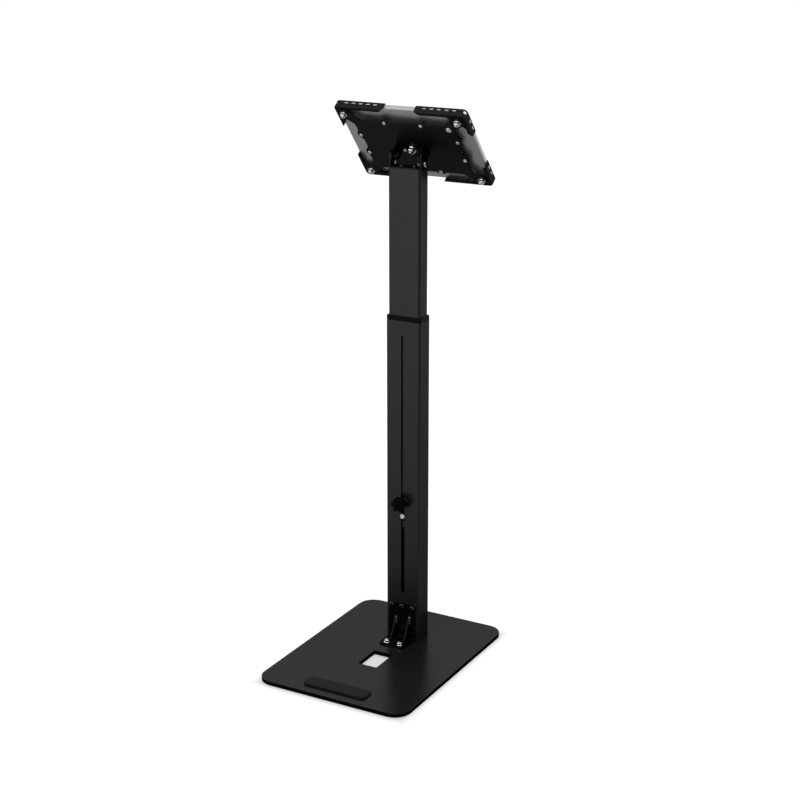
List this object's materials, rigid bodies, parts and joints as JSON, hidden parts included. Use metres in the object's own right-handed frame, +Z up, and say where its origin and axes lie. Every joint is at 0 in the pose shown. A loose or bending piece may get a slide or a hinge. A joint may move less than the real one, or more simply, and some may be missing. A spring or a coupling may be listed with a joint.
{
  "type": "tablet floor stand",
  "caption": "Floor stand with a flat rectangular base, a sliding two-part column and a tilting, turning plate whose corner brackets hold a tablet.",
  "frame": {"origin": "middle of the footprint, on the floor", "axes": "+Z up along the column, +Y towards the rear with the slot and knob, +X to the user's right"},
  "size_m": [0.3, 0.4, 1.002],
  "materials": {
    "painted_steel": "fine-textured satin powder coat, black",
    "bright_fasteners": "bright zinc, polished",
    "black_fasteners": "black oxide, semi-gloss",
    "plain_steel": "plain zinc-plated steel",
    "rubber": "matt black rubber",
    "pad_foam": "pale grey closed-cell foam rubber",
    "guide_plastic": "black slide plastic",
    "knob_plastic": "black semi-gloss plastic",
    "tablet_metal": "blasted anodised grey",
    "tablet_screen": "black polished glass, switched off"
  },
  "bodies": {
    "stand": {"base_plate": "painted_steel", "base_feet": "rubber", "base_tread": "rubber", "base_bolts": "bright_fasteners", "foot_bracket": "painted_steel", "foot_flange_screws": "bright_fasteners", "foot_flange_washers": "bright_fasteners", "foot_column_screws": "black_fasteners", "foot_nut_bar": "plain_steel", "foot_plug": "plain_steel", "lower_tube": "painted_steel", "tube_collar": "guide_plastic"},
    "mast": {"upper_tube": "painted_steel", "tube_glide": "guide_plastic", "tube_top_plug": "plain_steel", "clamp_nut_plate": "plain_steel", "slot_shoe": "guide_plastic", "guide_screw": "bright_fasteners", "tilt_yoke": "painted_steel", "yoke_screws": "black_fasteners", "pivot_bolts": "bright_fasteners", "pivot_nuts": "bright_fasteners", "ear_washers": "bright_fasteners", "tilt_lock_screw": "bright_fasteners"},
    "knob": {"height_knob": "knob_plastic", "knob_stud": "bright_fasteners", "knob_washer": "bright_fasteners"},
    "head": {"tilt_bracket": "painted_steel", "turn_bolt": "bright_fasteners", "turn_washer": "bright_fasteners", "turn_disc": "guide_plastic", "turn_nut": "bright_fasteners", "turn_stop_pin": "bright_fasteners"},
    "holder": {"back_plate": "painted_steel", "rim_screws": "bright_fasteners", "rim_bumpers": "rubber", "arm_screws": "bright_fasteners", "arm_washers": "bright_fasteners", "arm_nuts": "bright_fasteners", "safety_screw": "bright_fasteners", "tablet_shell": "tablet_metal", "tablet_glass": "tablet_screen"},
    "claw_upper_left": {"bracket_upper_left": "painted_steel", "bracket_pad_upper_left": "pad_foam"},
    "claw_upper_right": {"bracket_upper_right": "painted_steel", "bracket_pad_upper_right": "pad_foam"},
    "claw_lower_left": {"bracket_lower_left": "painted_steel", "bracket_pad_lower_left": "pad_foam"},
    "claw_lower_right": {"bracket_lower_right": "painted_steel", "bracket_pad_lower_right": "pad_foam"}
  },
  "joints": [
    {"name": "height", "type": "slide", "parent": "stand", "child": "mast", "axis": [0, 0, 1], "range_m": [-0.14, 0.305]},
    {"name": "clamp_turn", "type": "hinge", "parent": "mast", "child": "knob", "pos_m": [0, -0.065, 0.281], "axis": [0, 1, 0], "range_deg": [0, 360]},
    {"name": "tilt", "type": "hinge", "parent": "mast", "child": "head", "pos_m": [0, -0.091, 0.8995], "axis": [-1, 0, 0], "range_deg": [-40.4, 44]},
    {"name": "turn", "type": "hinge", "parent": "head", "child": "holder", "pos_m": [0, -0.10912, 0.9245], "axis": [0, -0.7615, 0.6481], "range_deg": [0, 90]},
    {"name": "grip_upper_left", "type": "slide", "parent": "holder", "child": "claw_upper_left", "axis": [-0.766, 0.4166, 0.4895], "range_m": [0, 0.012]},
    {"name": "grip_upper_right", "type": "slide", "parent": "holder", "child": "claw_upper_right", "axis": [0.766, 0.4166, 0.4895], "range_m": [0, 0.012]},
    {"name": "grip_lower_left", "type": "slide", "parent": "holder", "child": "claw_lower_left", "axis": [-0.766, -0.4166, -0.4895], "range_m": [0, 0.012]},
    {"name": "grip_lower_right", "type": "slide", "parent": "holder", "child": "claw_lower_right", "axis": [0.766, -0.4166, -0.4895], "range_m": [0, 0.012]}
  ]
}
